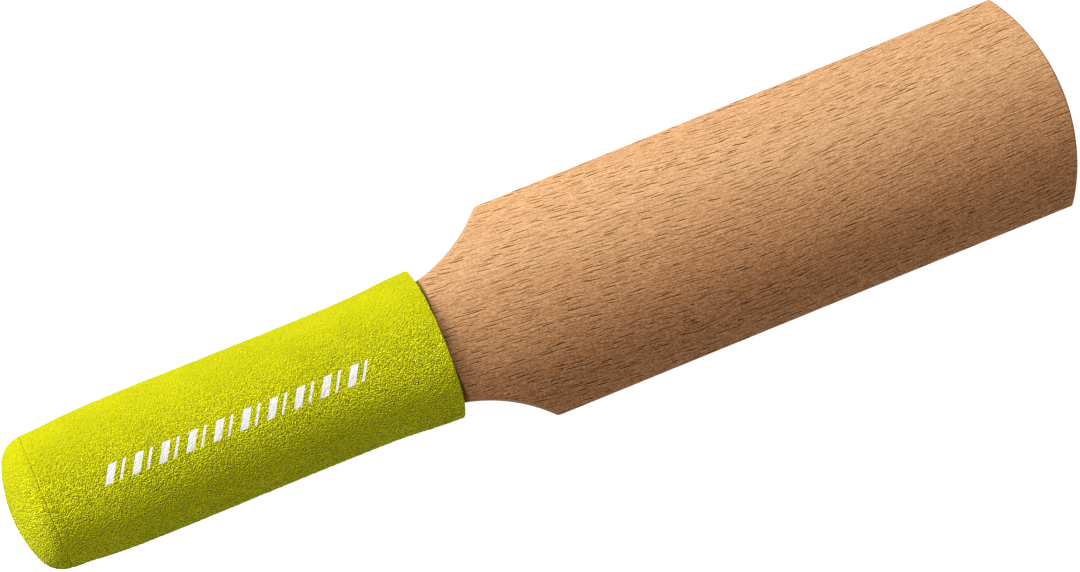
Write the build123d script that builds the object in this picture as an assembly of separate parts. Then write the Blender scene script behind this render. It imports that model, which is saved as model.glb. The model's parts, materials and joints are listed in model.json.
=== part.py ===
from build123d import *
import math
import os

# A potter's paddle: a one-piece beech body with a flat-backed, round-faced blade and a turned
# handle, and a soft foam grip made of a tube and an end cap. All lengths are in millimetres.
#
# Every piece is drawn in the tool frame: +X runs along the handle's axis from the butt to the
# blade's tip, and +Z points out of the round face. place() then lays the whole tool down as it
# rests on a bench, on the grip's mouth and the tip's back edge, with the bench at Z = 0.

# Blade: one constant section, cut to length
BLADE_WIDTH = 57.4
FACE_RADIUS = 34.0  # radius of the round working face, across the blade
FACE_CROWN_Z = 16.3  # height of the face's crown line over the handle's axis
EDGE_THICKNESS = 4.0  # upright side under the face, all round the blade
TIP_CORNER_X = 282.3
TIP_ARC_RISE = 5.3  # how far the curved end stands past its corners
EDGE_EASE = 0.6  # rounding of the sharp edges all round the face and the back
SHOULDER_EASE = 1.4  # rounding of the two corners where neck meets blade
TIP_CORNER_EASE = 0.8

# Neck: sawn to two hollow curves under the round face, and turned round underneath
COVE_START_X = 106.9
COVE_RADIUS = 42.5
COVE_ANGLE = 55.0  # how far the hollow curve is drawn, which is past the shoulder
NECK_RADIUS = 15.6  # at the cove's start
SPIGOT_END_X = 115.0  # where the turned handle steps up to the neck's sawn corners
SPIGOT_STEP_X = 1.6
SCOOP_START_X = 109.5  # the underside's double curve, from round handle to flat back
SCOOP_START_Z = -16.9
SCOOP_END_X = 144.0

# Handle core, inside the grip
CORE_RADIUS = 15.0
CORE_END_EASE = 1.0
CORE_SWELL_X = 95.0  # where the core starts to thicken towards the neck

# Foam grip
GRIP_RADIUS = 18.9
GRIP_STRAIGHT_START_X = 32.0
GRIP_STRAIGHT_END_X = 92.0
MOUTH_X = 114.6
MOUTH_RADIUS = 20.0
MOUTH_BORE_RADIUS = 17.4
MOUTH_LIP_EASE = 0.5
SEAM_X = 7.3
SEAM_RADIUS = 17.85
SEAM_EASE = 0.45
BUTT_END_X = -1.15  # the crown of the domed butt
BUTT_FACE_X = 2.2  # where the dome turns over into the cap's side
BUTT_FACE_RADIUS = 14.7
BUTT_CORNER_X = 3.8
BUTT_CORNER_RADIUS = 16.6

HALF_WIDTH = BLADE_WIDTH / 2
FACE_CENTRE_Z = FACE_CROWN_Z - FACE_RADIUS
EDGE_TOP_Z = FACE_CENTRE_Z + math.sqrt(FACE_RADIUS**2 - HALF_WIDTH**2)
BACK_Z = EDGE_TOP_Z - EDGE_THICKNESS
TIP_X = TIP_CORNER_X + TIP_ARC_RISE
STOCK = 50.0  # clear of the tool on every side, for cutting shapes
REST_TILT = math.degrees(math.atan2(MOUTH_RADIUS + BACK_Z, TIP_X - MOUTH_X))


def swell():
    """The line along which the core thickens to the neck, which the foam tube's bore fits."""
    return Spline(
        (CORE_SWELL_X, CORE_RADIUS), (COVE_START_X, NECK_RADIUS), tangents=((1, 0), (1, 0))
    )


def handle_line():
    """The handle core's outline from its end to the start of the neck's hollow curve."""
    Polyline(
        (SEAM_X, 0),
        (SEAM_X, CORE_RADIUS - CORE_END_EASE),
        (SEAM_X + CORE_END_EASE, CORE_RADIUS),
        (CORE_SWELL_X, CORE_RADIUS),
    )
    swell()


def cove_point(angle):
    """The point on the neck's hollow curve that lies this many degrees past its start."""
    turn = math.radians(angle)
    return (
        COVE_START_X + COVE_RADIUS * math.sin(turn),
        NECK_RADIUS + COVE_RADIUS * (1 - math.cos(turn)),
    )


def neck_blank():
    """Handle and neck: upright sawn sides above the axis and a round underside below it."""
    with BuildSketch() as outline:
        with BuildLine():
            handle_line()
            ThreePointArc(cove_point(0), cove_point(COVE_ANGLE / 2), cove_point(COVE_ANGLE))
            Polyline(
                cove_point(COVE_ANGLE),
                (cove_point(COVE_ANGLE)[0], STOCK),
                (TIP_X + STOCK, STOCK),
                (TIP_X + STOCK, 0),
                (SEAM_X, 0),
            )
        make_face()
    half = outline.sketch
    underside = revolve(half, axis=Axis((0, 0, 0), (-1, 0, 0)), revolution_arc=180)
    sawn = extrude(half + mirror(half, about=Plane.XZ), amount=STOCK)
    return sawn + underside


def turned_limit():
    """The turned handle, which steps up past the foam's mouth and then clears the neck."""
    spigot_angle = math.degrees(math.asin((SPIGOT_END_X - COVE_START_X) / COVE_RADIUS))
    with BuildPart() as limit:
        with BuildSketch(Plane.XY):
            with BuildLine():
                handle_line()
                ThreePointArc(cove_point(0), cove_point(spigot_angle / 2), cove_point(spigot_angle))
                Polyline(
                    cove_point(spigot_angle),
                    (SPIGOT_END_X + SPIGOT_STEP_X, MOUTH_RADIUS + 1),
                    (SPIGOT_END_X + SPIGOT_STEP_X, 2 * STOCK),
                    (TIP_X + STOCK, 2 * STOCK),
                    (TIP_X + STOCK, 0),
                    (SEAM_X, 0),
                )
            make_face()
        revolve(axis=Axis.X)
    return limit.part


def section_prism():
    """The blade's cross-section run the whole length of the tool, deep enough for the round core."""
    with BuildPart() as prism:
        with BuildSketch(Plane.YZ):
            with BuildLine():
                ThreePointArc((-HALF_WIDTH, EDGE_TOP_Z), (0, FACE_CROWN_Z), (HALF_WIDTH, EDGE_TOP_Z))
                Polyline(
                    (HALF_WIDTH, EDGE_TOP_Z),
                    (HALF_WIDTH, -STOCK),
                    (-HALF_WIDTH, -STOCK),
                    (-HALF_WIDTH, EDGE_TOP_Z),
                )
            make_face()
        extrude(amount=TIP_X + STOCK)
    return prism.part


def side_prism():
    """The outline from the side: flat back under the blade, scooped down to the handle's bottom."""
    run = SCOOP_END_X - SCOOP_START_X
    rise = BACK_Z - SCOOP_START_Z
    middle = (SCOOP_START_X + run / 2, SCOOP_START_Z + rise / 2)
    with BuildPart() as prism:
        with BuildSketch(Plane.XZ):
            with BuildLine():
                lower = TangentArc((SCOOP_START_X, SCOOP_START_Z), middle, tangent=(1, 0))
                TangentArc(middle, (SCOOP_END_X, BACK_Z), tangent=lower % 1)
                Polyline(
                    (SCOOP_END_X, BACK_Z),
                    (TIP_X + STOCK, BACK_Z),
                    (TIP_X + STOCK, STOCK),
                    (-STOCK, STOCK),
                    (-STOCK, SCOOP_START_Z),
                    (SCOOP_START_X, SCOOP_START_Z),
                )
            make_face()
        extrude(amount=STOCK, both=True)
    return prism.part


def plan_prism():
    """The outline from above, which cuts the blade's curved end."""
    with BuildPart() as prism:
        with BuildSketch(Plane.XY):
            with BuildLine():
                ThreePointArc((TIP_CORNER_X, -HALF_WIDTH), (TIP_X, 0), (TIP_CORNER_X, HALF_WIDTH))
                Polyline(
                    (TIP_CORNER_X, HALF_WIDTH),
                    (TIP_CORNER_X, STOCK),
                    (-STOCK, STOCK),
                    (-STOCK, -STOCK),
                    (TIP_CORNER_X, -STOCK),
                    (TIP_CORNER_X, -HALF_WIDTH),
                )
            make_face()
        extrude(amount=STOCK, both=True)
    return prism.part


def upright_corners(wood):
    """The short edges across the blade's sides, at the shoulders and at the tip."""
    on_side = [
        edge for edge in wood.edges() if abs(abs(edge.center().Y) - HALF_WIDTH) < EDGE_EASE
    ]
    return [edge for edge in on_side if edge.length < 2 * EDGE_THICKNESS]


def wood_paddle():
    """One beech board: turned at the handle, rounded on its face and sawn to its outline."""
    wood = neck_blank() & section_prism() & side_prism() & plan_prism()
    wood = wood.solid()
    middle_x = (MOUTH_X + TIP_X) / 2
    shoulders = [edge for edge in upright_corners(wood) if edge.center().X < middle_x]
    wood = wood.fillet(SHOULDER_EASE, shoulders)
    tip_corners = [edge for edge in upright_corners(wood) if edge.center().X > TIP_CORNER_X - 1]
    wood = wood.fillet(TIP_CORNER_EASE, tip_corners)
    # each long edge runs on smoothly round the tip and along the neck, and the rounding follows it
    long_edges = [edge for edge in wood.edges().filter_by(Axis.X) if edge.center().X > middle_x]
    return (wood.fillet(EDGE_EASE, long_edges) & turned_limit()).solid()


def grip_sleeve():
    """The foam tube, tapered to the seam at its back end and flared at its mouth."""
    with BuildPart() as sleeve:
        with BuildSketch(Plane.XY):
            with BuildLine():
                TangentArc(
                    (SEAM_X, SEAM_RADIUS - SEAM_EASE),
                    (SEAM_X + SEAM_EASE, SEAM_RADIUS),
                    tangent=(0, 1),
                )
                Spline(
                    (SEAM_X + SEAM_EASE, SEAM_RADIUS),
                    (GRIP_STRAIGHT_START_X, GRIP_RADIUS),
                    tangents=((1, 0.07), (1, 0)),
                )
                Line((GRIP_STRAIGHT_START_X, GRIP_RADIUS), (GRIP_STRAIGHT_END_X, GRIP_RADIUS))
                Spline(
                    (GRIP_STRAIGHT_END_X, GRIP_RADIUS),
                    (MOUTH_X - MOUTH_LIP_EASE, MOUTH_RADIUS),
                    tangents=((1, 0), (1, 0.08)),
                )
                Polyline(
                    (MOUTH_X - MOUTH_LIP_EASE, MOUTH_RADIUS),
                    (MOUTH_X, MOUTH_RADIUS - MOUTH_LIP_EASE),
                    (MOUTH_X, MOUTH_BORE_RADIUS + MOUTH_LIP_EASE),
                    (MOUTH_X - MOUTH_LIP_EASE, MOUTH_BORE_RADIUS),
                    (COVE_START_X, NECK_RADIUS),
                )
                swell()
                Polyline(
                    (CORE_SWELL_X, CORE_RADIUS),
                    (SEAM_X, CORE_RADIUS),
                    (SEAM_X, SEAM_RADIUS - SEAM_EASE),
                )
            make_face()
        revolve(axis=Axis.X)
    return sleeve.part


def grip_end_cap():
    """The foam disc that closes the butt, with a domed face and a round corner."""
    with BuildPart() as cap:
        with BuildSketch(Plane.XY):
            with BuildLine():
                dome = TangentArc(
                    (BUTT_END_X, 0), (BUTT_FACE_X, BUTT_FACE_RADIUS), tangent=(0, 1)
                )
                Spline(
                    (BUTT_FACE_X, BUTT_FACE_RADIUS),
                    (BUTT_CORNER_X, BUTT_CORNER_RADIUS),
                    (SEAM_X - SEAM_EASE, SEAM_RADIUS),
                    tangents=(dome % 1, (1, 0.1)),
                )
                TangentArc(
                    (SEAM_X - SEAM_EASE, SEAM_RADIUS),
                    (SEAM_X, SEAM_RADIUS - SEAM_EASE),
                    tangent=(1, 0),
                )
                Polyline((SEAM_X, SEAM_RADIUS - SEAM_EASE), (SEAM_X, 0), (BUTT_END_X, 0))
            make_face()
        revolve(axis=Axis.X)
    return cap.part


def place(pieces):
    """Lays the tool down on the bench, with the origin under the middle of its outline."""
    tilted = {name: Rot(0, REST_TILT, 0) * piece for name, piece in pieces.items()}
    boxes = [piece.bounding_box() for piece in tilted.values()]
    low_x = min(box.min.X for box in boxes)
    high_x = max(box.max.X for box in boxes)
    shift = Pos(-(low_x + high_x) / 2, 0, -min(box.min.Z for box in boxes))
    print("tilt", round(REST_TILT, 4), "shift", shift.position)
    return {name: shift * piece for name, piece in tilted.items()}


def main():
    os.makedirs("parts", exist_ok=True)
    pieces = {
        "wood_paddle": wood_paddle(),
        "grip_sleeve": grip_sleeve(),
        "grip_end_cap": grip_end_cap(),
    }
    for name, piece in place(pieces).items():
        piece.label = name
        export_step(piece, f"parts/{name}.step")


main()
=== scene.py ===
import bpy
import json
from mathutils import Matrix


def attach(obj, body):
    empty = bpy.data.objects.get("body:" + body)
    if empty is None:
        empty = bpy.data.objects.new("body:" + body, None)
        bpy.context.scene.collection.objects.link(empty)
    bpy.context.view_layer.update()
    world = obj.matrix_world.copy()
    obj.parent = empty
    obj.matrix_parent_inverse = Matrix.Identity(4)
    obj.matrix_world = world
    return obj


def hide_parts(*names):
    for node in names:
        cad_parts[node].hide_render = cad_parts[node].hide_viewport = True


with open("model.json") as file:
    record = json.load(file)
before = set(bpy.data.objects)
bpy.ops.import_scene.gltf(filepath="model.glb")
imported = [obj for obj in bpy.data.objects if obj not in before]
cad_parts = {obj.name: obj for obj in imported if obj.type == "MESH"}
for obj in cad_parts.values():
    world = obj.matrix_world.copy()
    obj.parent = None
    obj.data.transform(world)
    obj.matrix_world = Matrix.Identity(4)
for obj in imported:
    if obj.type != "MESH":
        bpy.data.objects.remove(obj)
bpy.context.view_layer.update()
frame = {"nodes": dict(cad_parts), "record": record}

import json
import math

import bpy
import numpy as np
from mathutils import Matrix, Vector, noise

# A potter's paddle: a beech blade with a round face and a flat back, and a lime foam grip.
# It lies round face up, on the mouth of the grip and the back edge of the blade's tip.
# Lengths on the tool are in millimetres, and those along it start from a zero that lies just inside
# the foam butt, whose crown is at BUTT_CROWN. The camera, the light and the floor are in metres.

MM = 0.001

# ---------------------------------------------------------------- where the tool lies

mounts = {mount["name"]: mount for mount in frame["record"]["mounts"]}
grip_mount = mounts["grip_barrel"]
GRIP_RADIUS = grip_mount["dims"]["r_mm"]
AXIS_POINT = Vector(grip_mount["pos_m"])
ALONG = -Vector(grip_mount["axis"]).normalized()  # from the butt to the tip
ACROSS = Vector((0, 1, 0))
OUT = ALONG.cross(ACROSS).normalized()  # out of the blade's round face
BUTT_CROWN = -1.15

butt_points = [Vector(v.co) for v in frame["nodes"]["grip_end_cap"].data.vertices]
butt_reach = min((point - AXIS_POINT).dot(ALONG) for point in butt_points)
ORIGIN = AXIS_POINT + ALONG * (butt_reach - BUTT_CROWN * MM)


def tool_point(along, across, out):
    """A point of the row frame, from millimetres along, across and out of the tool's axis."""
    return ORIGIN + (ALONG * along + ACROSS * across + OUT * out) * MM


# ---------------------------------------------------------------- camera

VIEW_TILT = math.radians(9.0)  # the camera stands this far round towards the butt
PICTURE_TURN = math.radians(22.06)  # the tool rises this much from left to right
CAMERA_DISTANCE = 1.75
PICTURE_WIDTH = 0.27525  # of the plane through the handle's axis
LOOK_ALONG = 145.5  # the place on the tool that the camera looks at
LOOK_ACROSS = 3.66
SENSOR = 36.0
NEAREST_SEEN = 0.05


def columns(x, y, z, place):
    """The matrix whose axes are x, y and z and whose origin is place."""
    rotation = Matrix((x, y, z)).transposed().to_4x4()
    return Matrix.Translation(place) @ rotation


def make_camera():
    towards = (OUT * math.cos(VIEW_TILT) - ALONG * math.sin(VIEW_TILT)).normalized()
    tip_way = (ALONG * math.cos(VIEW_TILT) + OUT * math.sin(VIEW_TILT)).normalized()
    side_way = towards.cross(tip_way)
    right = tip_way * math.cos(PICTURE_TURN) - side_way * math.sin(PICTURE_TURN)
    up = tip_way * math.sin(PICTURE_TURN) + side_way * math.cos(PICTURE_TURN)
    place = tool_point(LOOK_ALONG, LOOK_ACROSS, 0) + towards * CAMERA_DISTANCE
    data = bpy.data.cameras.new("camera")
    data.sensor_width = SENSOR
    data.lens = SENSOR * CAMERA_DISTANCE / PICTURE_WIDTH
    data.clip_start = NEAREST_SEEN
    camera = bpy.data.objects.new("camera", data)
    camera.matrix_world = columns(right, up, towards, place)
    bpy.context.scene.collection.objects.link(camera)
    bpy.context.scene.camera = camera


# ---------------------------------------------------------------- light and floor

# a long soft box that lies along the tool, up and to the butt's side
KEY_FROM = (-ALONG * 0.52 + ACROSS * 0.74 + OUT * 0.44).normalized()
KEY_DISTANCE = 1.6
KEY_LENGTH = 1.3
KEY_WIDTH = 0.8
KEY_POWER = 37.5
SKY_STRENGTH = 0.335
FLOOR_HALF = 3.0
FLOOR_COLOUR = 0.9
FLOOR_GLOW = 0.9


def make_key():
    data = bpy.data.lights.new("key", "AREA")
    data.shape = "RECTANGLE"
    data.size = KEY_LENGTH
    data.size_y = KEY_WIDTH
    data.energy = KEY_POWER
    lamp = bpy.data.objects.new("key", data)
    lengthways = (ALONG - KEY_FROM * ALONG.dot(KEY_FROM)).normalized()
    place = tool_point(LOOK_ALONG, 0, 0) + KEY_FROM * KEY_DISTANCE
    lamp.matrix_world = columns(lengthways, KEY_FROM.cross(lengthways), KEY_FROM, place)
    bpy.context.scene.collection.objects.link(lamp)


def make_sky():
    world = bpy.data.worlds.new("studio")
    bpy.context.scene.world = world
    world.use_nodes = True
    background = world.node_tree.nodes["Background"]
    background.inputs["Color"].default_value = (1, 1, 1, 1)
    background.inputs["Strength"].default_value = SKY_STRENGTH


def make_floor():
    mesh = bpy.data.meshes.new("floor")
    half = FLOOR_HALF
    corners = [(-half, -half, 0), (half, -half, 0), (half, half, 0), (-half, half, 0)]
    mesh.from_pydata(corners, [], [(0, 1, 2, 3)])
    floor = bpy.data.objects.new("floor", mesh)
    bpy.context.scene.collection.objects.link(floor)
    # a glowing floor this close would light the side that lies in shade
    floor.visible_diffuse = False
    floor.visible_glossy = False
    white = Nodes("floor_white")
    white.set("Base Color", (FLOOR_COLOUR, FLOOR_COLOUR, FLOOR_COLOUR, 1))
    white.set("Roughness", 0.9)
    white.set("Specular IOR Level", 0.0)
    white.set("Emission Color", (1, 1, 1, 1))
    white.set("Emission Strength", FLOOR_GLOW)
    mesh.materials.append(white.material)


# ---------------------------------------------------------------- material nodes


class Nodes:
    """A material's node tree, with one short call for each kind of node used here."""

    MIX_FACTOR, MIX_A, MIX_B = 0, 6, 7  # a Mix node's inputs where it mixes colours
    MIX_RESULT = 2

    def __init__(self, name):
        self.material = bpy.data.materials.new(name)
        self.material.use_nodes = True
        self.tree = self.material.node_tree
        self.shader = self.tree.nodes["Principled BSDF"]

    def put(self, socket, value):
        if isinstance(value, bpy.types.NodeSocket):
            self.tree.links.new(value, socket)
        else:
            socket.default_value = value

    def set(self, socket, value):
        self.put(self.shader.inputs[socket], value)

    def node(self, kind, settings=None, **inputs):
        """A node with its inputs filled, each named as on the node but with _ for a space."""
        node = self.tree.nodes.new(kind)
        for key, value in (settings or {}).items():
            setattr(node, key, value)
        for key, value in inputs.items():
            self.put(node.inputs[key.replace("_", " ")], value)
        return node

    def math(self, operation, *values):
        node = self.node("ShaderNodeMath", {"operation": operation})
        for socket, value in zip(node.inputs, values):
            self.put(socket, value)
        return node.outputs[0]

    def vector_math(self, operation, a, b):
        """The vector that the operation gives, or the number that a dot product gives."""
        node = self.node("ShaderNodeVectorMath", {"operation": operation})
        self.put(node.inputs[0], a)
        self.put(node.inputs[1], b)
        return node.outputs["Value" if operation == "DOT_PRODUCT" else "Vector"]

    def add(self, a, b):
        return self.math("ADD", a, b)

    def sub(self, a, b):
        return self.math("SUBTRACT", a, b)

    def mul(self, a, b):
        return self.math("MULTIPLY", a, b)

    def line(self, value, gain, offset):
        """gain times value, plus offset."""
        return self.math("MULTIPLY_ADD", value, gain, offset)

    def fade(self, value, full, none):
        """1 where value reaches full, 0 where it reaches none, and a smooth step between."""
        ends = {"From_Min": full, "From_Max": none, "To_Min": 1.0, "To_Max": 0.0}
        settings = {"interpolation_type": "SMOOTHSTEP"}
        return self.node("ShaderNodeMapRange", settings, Value=value, **ends).outputs[0]

    def combine(self, x, y, z):
        return self.node("ShaderNodeCombineXYZ", X=x, Y=y, Z=z).outputs[0]

    def split(self, vector):
        return list(self.node("ShaderNodeSeparateXYZ", Vector=vector).outputs)

    def noise(self, vector, scale=1.0, detail=2.0, roughness=0.5):
        node = self.node(
            "ShaderNodeTexNoise", Vector=vector, Scale=scale, Detail=detail, Roughness=roughness
        )
        return node.outputs["Fac"]

    def mix(self, factor, a, b, blend="MIX"):
        node = self.node("ShaderNodeMix", {"data_type": "RGBA", "blend_type": blend})
        self.put(node.inputs[self.MIX_FACTOR], factor)
        for index, colour in ((self.MIX_A, a), (self.MIX_B, b)):
            self.put(node.inputs[index], (*colour, 1) if isinstance(colour, tuple) else colour)
        return node.outputs[self.MIX_RESULT]

    def tint(self, colour, by, amount=1.0):
        """The colour multiplied by another."""
        return self.mix(amount, colour, by, "MULTIPLY")

    def bump(self, height, distance):
        return self.node("ShaderNodeBump", Height=height, Distance=distance, Strength=1.0).outputs[0]

    def tool_coordinates(self):
        """Millimetres along, across and out of the tool's axis, whatever the tool's tilt."""
        turn = Matrix((ALONG, ACROSS, OUT)).to_euler()
        shift = Matrix((ALONG, ACROSS, OUT)) @ ORIGIN
        position = self.node("ShaderNodeTexCoord").outputs["Object"]
        mapping = self.node("ShaderNodeMapping", {"vector_type": "POINT"}, Vector=position)
        mapping.inputs["Rotation"].default_value = turn
        mapping.inputs["Scale"].default_value = (1 / MM, 1 / MM, 1 / MM)
        mapping.inputs["Location"].default_value = -shift / MM
        return mapping.outputs[0]


# ---------------------------------------------------------------- beech

BEECH_LIT_SIDE = (0.655, 0.367, 0.182)  # painted light: paler and yellower towards the lit side of the board
BEECH_SHADED_SIDE = (0.630, 0.282, 0.117)  # painted shade: redder towards the shaded side
SHADE_TINT_REACH = 18.0  # the colour changes from the lit one to the shaded one over this much each side of the axis
SHADE_TINT_WANDER = 11.0  # how far the bands of growth move that change to and fro
BAND_PALE = (1.02, 1.03, 1.035)
BAND_DEEP = (0.975, 0.965, 0.95)
BAND_CHANGE = (0.36, 0.64)
FLECK_BROWN = (0.100, 0.024, 0.002)
FLECK_STAIN = (1.0, 0.86, 0.58)  # what the wood's colour is multiplied by round a fleck
# painted highlight: the pale strip beside a fleck stands for light on the far wall of its groove
FLECK_HIGHLIGHT = (0.880, 0.550, 0.290)

GRAIN_START = 120.0  # where the fibres' drift across the board is counted from
GRAIN_BEND = 200.0  # up to here the fibres run down towards one side, and then level out
GRAIN_BEND_LEAN = 0.6  # how much later the bend comes with every millimetre across
GRAIN_BEND_EASE = 25.0
GRAIN_SLOPE = 0.105
GRAIN_WANDER = ((38.0, 16.0, 1.6), (7.0, 3.0, 0.9))  # a wave's length, its width and its swing

# sizes along the grain, across it and into the wood
BAND_SIZE = (70.0, 6.0, 9.0)
FIBRE_SIZE = (2.6, 0.40, 1.2)
GRIT_SIZE = (0.62, 0.27, 0.4)
FIBRE_CONTRAST = 0.45
GRIT_CONTRAST = 1.15
SHADE_OF_CHANNELS = (0.95, 1.18, 1.55)  # pale fibres are greyer and dark ones warmer than the rest

# painted light: across the board, the fibres and flecks are given more contrast towards the shaded
# edge, where light would rake their relief
CONTRAST_SHADED_EDGE = -26.0
CONTRAST_LIT_EDGE = 14.0
FIBRES_PAINTED_RAKE = (1.0, 0.85)  # gain and offset
FLECKS_PAINTED_RAKE = (0.25, 0.84)

# ray flecks, one to a cell, and how strongly each part of one shows; the pale part beside a fleck is
# a painted highlight
LARGE_FLECKS = {"cell": (4.3, 1.0, 9.0), "length": 5.4, "thickness": 0.27, "seed": 3.1}
SMALL_FLECKS = {"cell": (2.6, 0.62, 6.0), "length": 2.9, "thickness": 0.20, "seed": 11.7}
LARGE_FLECK, LARGE_HIGHLIGHT, LARGE_STAIN = 0.98, 0.70, 0.65
SMALL_FLECK, SMALL_HIGHLIGHT, SMALL_STAIN = 0.60, 0.45, 0.35
ROW_STAGGER = 0.618  # each row of cells starts this share of a cell further along than the last
ROW_SEED_STEP = 1.7
CELL_RANDOMNESS = 0.75
LONG_BY = (0.6, 0.6)  # gain and offset by a fleck's own chance
THICK_BY = (0.5, 0.7)
DEEP_CHANCE, FAINT_CHANCE = 0.85, 0.30
DEEP_BY = (0.75, 0.25)  # even the faintest keeps the offset
# in half thicknesses from a fleck's middle line: where each part is full, and where it ends
LENS_ENDS = (0.6, 1.0)
# the lip is a painted highlight, lying this many half thicknesses to the fleck's shaded side
HIGHLIGHT_ENDS = (0.4, 1.0)
HIGHLIGHT_AWAY = 1.3
STAIN_ENDS = (0.5, 3.0)
# how squarely the surface faces out or back where flecks show in full, and where none do
FACE_ENDS = (0.45, 0.10)

BEECH_ROUGHNESS = (0.16, 0.42)  # gain and offset by the fibres
FLECK_ROUGHNESS = 0.2
GRAIN_HEIGHT = 0.35  # of the fibres and the grit, as a share of a fleck's depth
BEECH_RELIEF = 0.00018  # metres


def grain_coordinates(nodes, tool):
    """The tool's coordinates, with across counted from fibres that slope, level out and wander."""
    along, across, out = nodes.split(tool)
    run = nodes.sub(along, GRAIN_START)
    bend = nodes.line(across, GRAIN_BEND_LEAN, GRAIN_BEND - GRAIN_START)
    drift = nodes.mul(nodes.math("SMOOTH_MIN", run, bend, GRAIN_BEND_EASE), GRAIN_SLOPE)
    for wave_along, wave_across, swing in GRAIN_WANDER:
        place = nodes.vector_math("MULTIPLY", tool, (1 / wave_along, 1 / wave_across, 0.0))
        drift = nodes.add(drift, nodes.mul(nodes.noise(place, detail=1.0), swing))
    return nodes.combine(along, nodes.add(across, drift), out)


def streaks(nodes, grain, size, detail):
    """A noise from 0 to 1 whose patches are about as large as size."""
    shares = tuple(1 / length for length in size)
    return nodes.noise(nodes.vector_math("MULTIPLY", grain, shares), detail=detail)


def face_share(nodes):
    """1 on the blade's face and back, and 0 on its sawn sides and end.

    A fleck is deep, so it would show as a tall patch there.
    """
    normal = nodes.node("ShaderNodeNewGeometry").outputs["Normal"]
    facing = nodes.vector_math("DOT_PRODUCT", normal, OUT)
    return nodes.fade(nodes.math("ABSOLUTE", facing), *FACE_ENDS)


def fleck_layer(nodes, grain, face, cell, length, thickness, seed):
    """How much of a lens-shaped ray fleck, of the painted highlight beside it and of its warm stain
    is at a point.

    cell is (along, across, deep), and all lengths are in millimetres.
    """
    along, across, out = nodes.split(grain)
    rows = nodes.add(nodes.mul(across, 1 / cell[1]), seed * ROW_SEED_STEP)
    # the stagger keeps the flecks from standing in columns
    staggered = nodes.add(nodes.mul(along, 1 / cell[0]), nodes.mul(rows, ROW_STAGGER))
    place = nodes.combine(staggered, rows, nodes.mul(out, 1 / cell[2]))
    settings = {"feature": "F1", "distance": "EUCLIDEAN", "voronoi_dimensions": "3D"}
    cells = nodes.node(
        "ShaderNodeTexVoronoi", settings, Vector=place, Scale=1.0, Randomness=CELL_RANDOMNESS
    )
    from_middle = nodes.vector_math("SUBTRACT", place, cells.outputs["Position"])
    off_along, off_across = nodes.split(from_middle)[:2]
    off_along = nodes.sub(off_along, nodes.mul(off_across, ROW_STAGGER))
    # every fleck has its own length, thickness and depth
    chance_a, chance_b, chance_c = nodes.split(cells.outputs["Color"])
    long_by = nodes.line(chance_a, *LONG_BY)
    thick_by = nodes.line(chance_b, *THICK_BY)
    depth = nodes.line(nodes.fade(chance_c, DEEP_CHANCE, FAINT_CHANCE), *DEEP_BY)
    depth = nodes.mul(depth, face)
    u = nodes.math("DIVIDE", nodes.mul(off_along, 2 * cell[0] / length), long_by)
    v = nodes.math("DIVIDE", nodes.mul(off_across, 2 * cell[1] / thickness), thick_by)
    bow = nodes.mul(u, u)
    from_lens = nodes.add(bow, nodes.math("ABSOLUTE", v))
    # the lip is a painted highlight beside the fleck
    from_highlight = nodes.add(bow, nodes.math("ABSOLUTE", nodes.add(v, HIGHLIGHT_AWAY)))
    lens = nodes.fade(from_lens, *LENS_ENDS)
    lip = nodes.fade(from_highlight, *HIGHLIGHT_ENDS)
    stain = nodes.fade(from_lens, *STAIN_ENDS)
    return [nodes.mul(part, depth) for part in (lens, lip, stain)]


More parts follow.
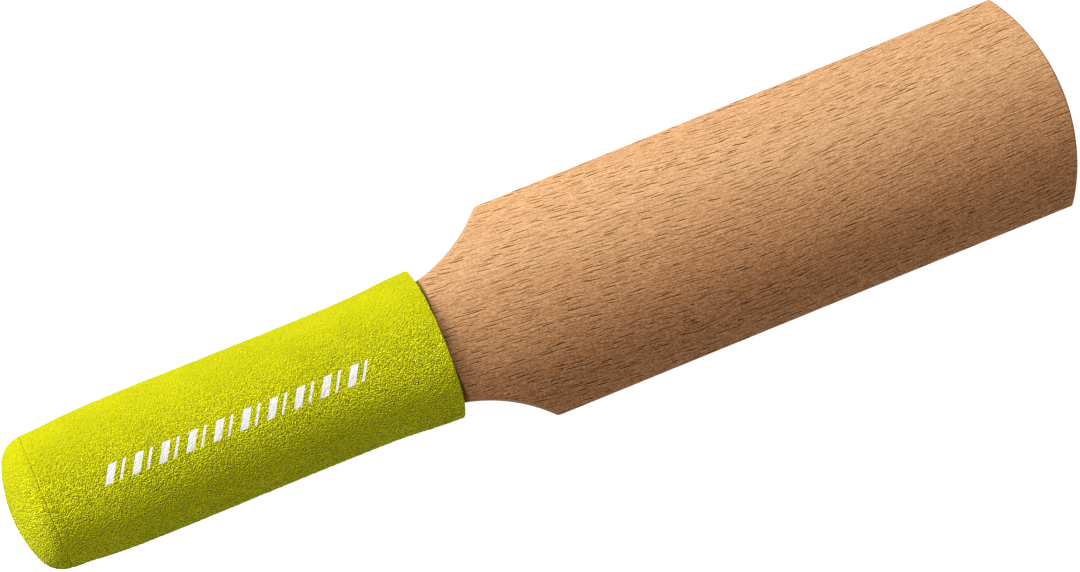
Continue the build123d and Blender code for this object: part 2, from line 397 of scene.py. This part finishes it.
def beech():
    nodes = Nodes("beech")
    tool = nodes.tool_coordinates()
    across = nodes.split(tool)[1]
    grain = grain_coordinates(nodes, tool)
    bands = streaks(nodes, grain, BAND_SIZE, 2.0)
    fibres = streaks(nodes, grain, FIBRE_SIZE, 2.0)
    grit = streaks(nodes, grain, GRIT_SIZE, 1.0)
    face = face_share(nodes)
    # painted light: the grain gets more contrast towards the shaded edge, where light would rake its
    # relief
    painted_rake = nodes.fade(across, CONTRAST_SHADED_EDGE, CONTRAST_LIT_EDGE)
    flecks, painted_relief_shading, stains = fleck_layer(nodes, grain, face, **LARGE_FLECKS)
    small_flecks, small_highlights, small_stains = fleck_layer(nodes, grain, face, **SMALL_FLECKS)
    # the flecks too are painted darker towards the shaded edge
    fleck_rake = nodes.line(painted_rake, *FLECKS_PAINTED_RAKE)
    flecks = nodes.mul(flecks, fleck_rake)
    small_flecks = nodes.mul(small_flecks, fleck_rake)

    # painted light: the wood is paler and yellower towards its lit side and redder towards its
    # shaded side
    wander = nodes.mul(nodes.sub(bands, 0.5), SHADE_TINT_WANDER)
    shade_tint = nodes.fade(nodes.add(across, wander), -SHADE_TINT_REACH, SHADE_TINT_REACH)
    colour = nodes.mix(shade_tint, BEECH_LIT_SIDE, BEECH_SHADED_SIDE)
    colour = nodes.tint(colour, nodes.mix(nodes.fade(bands, *BAND_CHANGE), BAND_PALE, BAND_DEEP))
    fibre_shade = nodes.mul(nodes.sub(fibres, 0.5), FIBRE_CONTRAST)
    grit_shade = nodes.mul(nodes.sub(grit, 0.5), GRIT_CONTRAST)
    shade = nodes.mul(nodes.add(fibre_shade, grit_shade), nodes.line(painted_rake, *FIBRES_PAINTED_RAKE))
    tones = [nodes.line(shade, gain, 1.0) for gain in SHADE_OF_CHANNELS]
    colour = nodes.tint(colour, nodes.combine(*tones))
    colour = nodes.tint(colour, FLECK_STAIN, nodes.mul(small_stains, SMALL_STAIN))
    colour = nodes.tint(colour, FLECK_STAIN, nodes.mul(stains, LARGE_STAIN))
    # painted highlights: a pale strip beside each fleck stands for light on its groove's far wall
    colour = nodes.mix(nodes.mul(small_highlights, SMALL_HIGHLIGHT), colour, FLECK_HIGHLIGHT)
    colour = nodes.mix(nodes.mul(small_flecks, SMALL_FLECK), colour, FLECK_BROWN)
    colour = nodes.mix(nodes.mul(painted_relief_shading, LARGE_HIGHLIGHT), colour, FLECK_HIGHLIGHT)
    colour = nodes.mix(nodes.mul(flecks, LARGE_FLECK), colour, FLECK_BROWN)
    nodes.set("Base Color", colour)

    rough = nodes.line(fibres, *BEECH_ROUGHNESS)
    nodes.set("Roughness", nodes.add(rough, nodes.mul(flecks, FLECK_ROUGHNESS)))
    nodes.set("Specular IOR Level", 0.12)
    height = nodes.sub(nodes.mul(fibres, GRAIN_HEIGHT), flecks)
    height = nodes.add(height, nodes.mul(grit, GRAIN_HEIGHT))
    nodes.set("Normal", nodes.bump(height, BEECH_RELIEF))
    return nodes.material


# ---------------------------------------------------------------- foam, its looks

FOAM_LIME = (0.665, 0.665, 0.003)
FOAM_DEEP = (0.620, 0.622, 0.003)
CLOUD_SIZE = 14.0
CLOUD_CHANGE = (0.35, 0.65)
PEBBLE_SIZE = 0.36
PEBBLE_ROUGHNESS = 0.65
CELL_SIZE = 0.55
PAINTED_RELIEF_SHIFT = (0.05, -0.13, -0.10)  # the step between the two noises whose difference paints each pebble's highlight and shade
FOAM_SHADED_SIDE = -16.0  # the grip's shaded side, across it, where its painted light is strongest
FOAM_LIT_SIDE = 16.0
# gain and offset towards the shaded side: stronger painted highlight and shade on the pebbles, a
# painted lighter tone, and more blue for a paler painted sheen
PAINTED_RELIEF_CONTRAST = (5.4, 0.5)
SHADED_SIDE_LIGHTENING = (0.10, 0.965)
PAINTED_SHEEN_BLUE = (3.0, 0.5)
CELL_DEPTH = 0.4  # as a share of the pebbles' height
FOAM_RELIEF = 0.00060  # metres

GRIP_MAP = "grip_mm"
GRIP_MAP_SIDE = 128.0  # millimetres of foam along one side of the map
PRINT_WHITE = (0.97, 0.97, 0.96)
PRINT_START = 22.5  # along the grip
PRINT_PITCH = 7.3
PRINT_REPEATS = 10
PRINT_BARS = ((0.24, 0.31), (0.68, 0.11))  # middle and width of a wide and a thin bar, in pitches
PRINT_SOFT = 0.012  # how soft a bar's ends are, in pitches
PRINT_HEIGHT = 4.8
PRINT_EDGE = 0.06
PRINT_MIDDLE = 0.5  # round the grip from its crown line
PRINT_SLANT = 0.60  # how far a bar leans along the grip with every millimetre round it
PRINT_MISSES = (0.36, 0.26)  # the ink is whole on pebbles this high, and misses ones this low
PRINT_SMOOTHS = 0.7  # the share of the skin's relief that the ink fills


def printed_bars(nodes):
    """A row of plain slanted bars, printed along the grip's crown line. It stands for no letters."""
    grip_map = nodes.node("ShaderNodeUVMap", {"uv_map": GRIP_MAP}).outputs[0]
    u, v = nodes.split(grip_map)[:2]
    along = nodes.mul(u, GRIP_MAP_SIDE)
    around = nodes.sub(nodes.mul(nodes.sub(v, 0.5), GRIP_MAP_SIDE), PRINT_MIDDLE)
    leaning = nodes.sub(nodes.sub(along, PRINT_START), nodes.mul(around, PRINT_SLANT))
    step = nodes.math("DIVIDE", leaning, PRINT_PITCH)
    within = nodes.math("FRACT", step)
    bar = 0.0
    for middle, width in PRINT_BARS:
        away = nodes.math("ABSOLUTE", nodes.sub(within, middle))
        bar = nodes.add(bar, nodes.fade(away, width / 2 - PRINT_SOFT, width / 2 + PRINT_SOFT))
    first = nodes.fade(step, 0.0, -PRINT_SOFT)
    last = nodes.fade(step, PRINT_REPEATS, PRINT_REPEATS + PRINT_SOFT)
    half = PRINT_HEIGHT / 2
    high = nodes.fade(nodes.math("ABSOLUTE", around), half - PRINT_EDGE, half + PRINT_EDGE)
    return nodes.mul(nodes.mul(bar, high), nodes.mul(first, last))


def foam():
    nodes = Nodes("foam")
    tool = nodes.tool_coordinates()
    pebbles = nodes.noise(tool, 1 / PEBBLE_SIZE, 1.0, PEBBLE_ROUGHNESS)
    cells = nodes.node("ShaderNodeTexVoronoi", {"feature": "F1"}, Vector=tool, Scale=1 / CELL_SIZE)
    cloud = nodes.noise(tool, 1 / CLOUD_SIZE)
    colour = nodes.mix(nodes.fade(cloud, *CLOUD_CHANGE), FOAM_LIME, FOAM_DEEP)
    # painted light: the pebbles are too fine for bumps, so each gets a painted highlight on one side
    # and painted shade on the other
    beside = nodes.vector_math("ADD", tool, PAINTED_RELIEF_SHIFT)
    painted_relief_shading = nodes.sub(nodes.noise(beside, 1 / PEBBLE_SIZE, 1.0, PEBBLE_ROUGHNESS), pebbles)
    # painted light: towards the shaded side the pebbles' painted highlight and shade grow stronger,
    # the skin is painted lighter, and its blue rises for a paler painted sheen
    shaded_side = nodes.fade(nodes.split(tool)[1], FOAM_SHADED_SIDE, FOAM_LIT_SIDE)
    painted_tone = nodes.mul(painted_relief_shading, nodes.line(shaded_side, *PAINTED_RELIEF_CONTRAST))
    painted_tone = nodes.add(painted_tone, nodes.line(shaded_side, *SHADED_SIDE_LIGHTENING))
    sheen_blue = nodes.mul(painted_tone, nodes.line(shaded_side, *PAINTED_SHEEN_BLUE))
    colour = nodes.tint(colour, nodes.combine(painted_tone, painted_tone, sheen_blue))
    ink = nodes.mul(printed_bars(nodes), nodes.fade(pebbles, *PRINT_MISSES))
    nodes.set("Base Color", nodes.mix(ink, colour, PRINT_WHITE))
    nodes.set("Roughness", 0.9)
    nodes.set("Diffuse Roughness", 1.0)
    nodes.set("Sheen Weight", 0.25)
    nodes.set("Sheen Tint", (1.0, 1.0, 0.02, 1.0))
    nodes.set("Specular IOR Level", 0.12)
    height = nodes.sub(pebbles, nodes.mul(cells.outputs["Distance"], CELL_DEPTH))
    height = nodes.mul(height, nodes.line(ink, -PRINT_SMOOTHS, 1.0))
    nodes.set("Normal", nodes.bump(height, FOAM_RELIEF))
    return nodes.material


# ---------------------------------------------------------------- foam, its shape

AROUND_STEPS = 300  # points of one ring
ALONG_STEP = 0.40  # between the skin's rings
LIP_STEP = 0.16  # round the sleeve's mouth
BORE_STEP = 4.0  # coarse, because nothing shows inside the bore

# millimetres along the tool, and radius there
SEAM = 7.3
CAP_OUTLINE = (
    (BUTT_CROWN, 0.0), (-1.08, 2.0), (-0.89, 4.0), (-0.59, 6.0), (-0.19, 8.0), (0.33, 10.0),
    (1.0, 12.0), (1.68, 13.6), (2.4, 14.9), (3.2, 15.9), (4.1, 16.7), (5.1, 17.28),
    (6.0, 17.62), (6.7, 17.78), (7.1, 17.8), (SEAM, 17.74),
)
SLEEVE_OUTLINE = (
    (SEAM, 17.74), (7.55, 17.84), (8.1, 17.92), (9.5, 17.97), (11.5, 18.02),
    (15.0, 18.28), (19.0, 18.58), (24.5, 18.84), (31.0, 18.96), (44.0, 18.98), (58.0, 18.9),
    (88.0, 18.9), (94.0, 18.96), (98.5, 19.1), (102.5, 19.33), (106.0, 19.64), (109.5, 19.88),
    (112.0, 19.98), (113.8, 20.03),
)
SLEEVE_LIP = (
    (113.8, 20.03), (114.35, 20.05), (114.56, 20.02), (114.65, 19.92), (114.68, 19.7),
    (114.68, 19.2), (114.64, 18.4), (114.5, 17.8), (114.1, 17.5), (113.0, 17.1),
)
SLEEVE_BORE = ((111.5, 16.75), (106.9, 15.7), (99.0, 15.2), (60.0, 15.06), (SEAM, 15.06))

# the cap is glued on a little askew: the seam is shifted along the tool by SEAM_SHIFT, and by
# SEAM_SKEW_OUT more on the OUT side and as much less on the other; both fade out either way
SEAM_SHIFT = 0.7
SEAM_SKEW_OUT = -1.3
SEAM_RADIUS = 17.6
SKEW_REACH_CAP = 5.6
SKEW_REACH_SLEEVE = 16.0

# the skin's unevenness: how large its bumps are, how high, and where in the noise they lie
SKIN_BUMPS = (
    (9.0, 0.05, Vector((0.0, 0.0, 0.0))),
    (1.1, 0.03, Vector((31.0, 7.0, 3.0))),
    (0.52, 0.16, Vector((5.0, 17.0, 43.0))),
)


def smooth_line(points, step):
    """Points about step millimetres apart on a smooth curve through the given ones."""
    points = np.array(points, dtype=float)
    knots = np.concatenate([[0.0], np.cumsum(np.hypot(*np.diff(points, axis=0).T))])
    slopes = np.gradient(points, knots, axis=0)
    count = max(2, int(round(knots[-1] / step)) + 1)
    at = np.linspace(0.0, knots[-1], count)
    span = np.clip(np.searchsorted(knots, at, side="right") - 1, 0, len(knots) - 2)
    width = (knots[span + 1] - knots[span])[:, None]
    t = ((at - knots[span])[:, None]) / width
    a, b = points[span], points[span + 1]
    da, db = slopes[span] * width, slopes[span + 1] * width
    return (
        a * (2 * t**3 - 3 * t**2 + 1)
        + da * (t**3 - 2 * t**2 + t)
        + b * (3 * t**2 - 2 * t**3)
        + db * (t**3 - t**2)
    )


def skew(along, radius, cosine):
    """How far the foam near the seam is shifted along the tool."""
    reach = SKEW_REACH_SLEEVE if along > SEAM else SKEW_REACH_CAP
    near = max(0.0, 1.0 - abs(along - SEAM) / reach)
    shift = SEAM_SHIFT + SEAM_SKEW_OUT * cosine * radius / SEAM_RADIUS
    return shift * near * near * (3 - 2 * near)


def skin_height(point):
    """How far the foam's skin stands in or out at a point, in millimetres."""
    return sum(noise.noise(point / size + place) * height for size, height, place in SKIN_BUMPS)


def turned_rings(rows, rough_rows):
    """A ring of points about the tool's axis for each row, the first ones with the skin's bumps."""
    tangent = np.gradient(rows, axis=0)
    tangent /= np.linalg.norm(tangent, axis=1)[:, None]
    outward = np.stack([-tangent[:, 1], tangent[:, 0]], axis=1)
    points = []
    for row, ((along, radius), (push_along, push_radius)) in enumerate(zip(rows, outward)):
        for k in range(AROUND_STEPS):
            turn = 2 * math.pi * k / AROUND_STEPS
            sine, cosine = math.sin(turn), math.cos(turn)
            smooth_place = Vector((along, radius * sine, radius * cosine))
            lift = skin_height(smooth_place) if row < rough_rows else 0.0
            reach = radius + push_radius * lift
            place = along + push_along * lift + skew(along, radius, cosine)
            points.append(tool_point(place, reach * sine, reach * cosine))
    return points


def ring_faces(count, closed):
    """The faces from each ring to the next, and from the last to the first where closed."""
    faces = []
    for row in range(count if closed else count - 1):
        near = row * AROUND_STEPS
        far = ((row + 1) % count) * AROUND_STEPS
        for k in range(AROUND_STEPS):
            after = (k + 1) % AROUND_STEPS
            faces.append((near + k, far + k, far + after, near + after))
    return faces


def map_grip(mesh):
    """A map in millimetres along the grip, and round it from the crown line at the middle."""
    points = np.empty(len(mesh.vertices) * 3)
    mesh.vertices.foreach_get("co", points)
    points = (points.reshape(-1, 3) - np.array(ORIGIN)) / MM
    along = points @ np.array(ALONG)
    across = points @ np.array(ACROSS)
    out = points @ np.array(OUT)
    corners = np.empty(len(mesh.loops), dtype=int)
    mesh.loops.foreach_get("vertex_index", corners)
    turn = np.arctan2(across, out)[corners]
    # the map is cut along the underside, where a face's corners may lie on both sides of the cut
    starts = np.empty(len(mesh.polygons), dtype=int)
    mesh.polygons.foreach_get("loop_start", starts)
    sizes = np.diff(np.append(starts, len(corners)))
    first = np.repeat(turn[starts], sizes)
    turn = np.where(turn - first > math.pi, turn - 2 * math.pi, turn)
    turn = np.where(first - turn > math.pi, turn + 2 * math.pi, turn)
    around = turn * GRIP_RADIUS
    layer = mesh.uv_layers.new(name=GRIP_MAP)
    values = np.stack([along[corners] / GRIP_MAP_SIDE, around / GRIP_MAP_SIDE + 0.5], axis=1)
    layer.data.foreach_set("uv", values.ravel())


def foam_piece(name, points, faces):
    mesh = bpy.data.meshes.new(name)
    mesh.from_pydata([tuple(point) for point in points], [], faces)
    map_grip(mesh)
    mesh.shade_smooth()
    piece = bpy.data.objects.new(name, mesh)
    bpy.context.scene.collection.objects.link(piece)
    return piece


def foam_sleeve():
    """The sleeve, whose rows go out along the skin, round the lip and back along the bore."""
    skin = smooth_line(SLEEVE_OUTLINE, ALONG_STEP)
    skin = np.vstack([skin, smooth_line(SLEEVE_LIP, LIP_STEP)[1:]])
    rows = np.vstack([skin, smooth_line(SLEEVE_BORE, BORE_STEP)])
    points = turned_rings(rows, len(skin) - 1)
    return foam_piece("foam_sleeve", points, ring_faces(len(rows), True))


def foam_end_cap():
    """The cap, whose crown and flat face each close on a point of the axis."""
    rows = smooth_line(CAP_OUTLINE, ALONG_STEP)[1:]
    points = turned_rings(rows, len(rows))
    faces = ring_faces(len(rows), False)
    crown, centre = len(points), len(points) + 1
    points.append(tool_point(BUTT_CROWN, 0, 0))
    points.append(tool_point(SEAM, 0, 0))
    last = (len(rows) - 1) * AROUND_STEPS
    for k in range(AROUND_STEPS):
        after = (k + 1) % AROUND_STEPS
        faces.append((crown, k, after))
        faces.append((centre, last + after, last + k))
    return foam_piece("foam_end_cap", points, faces)


def make_grip():
    material = foam()
    for piece, node in ((foam_sleeve(), "grip_sleeve"), (foam_end_cap(), "grip_end_cap")):
        piece.data.materials.append(material)
        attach(piece, "root")
        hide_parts(node)


# ---------------------------------------------------------------- the scene

make_camera()
make_key()
make_sky()
make_floor()
bpy.context.scene.view_settings.view_transform = "Standard"

wood_mesh = frame["nodes"]["wood_paddle"].data
wood_mesh.materials.clear()
wood_mesh.materials.append(beech())
make_grip()
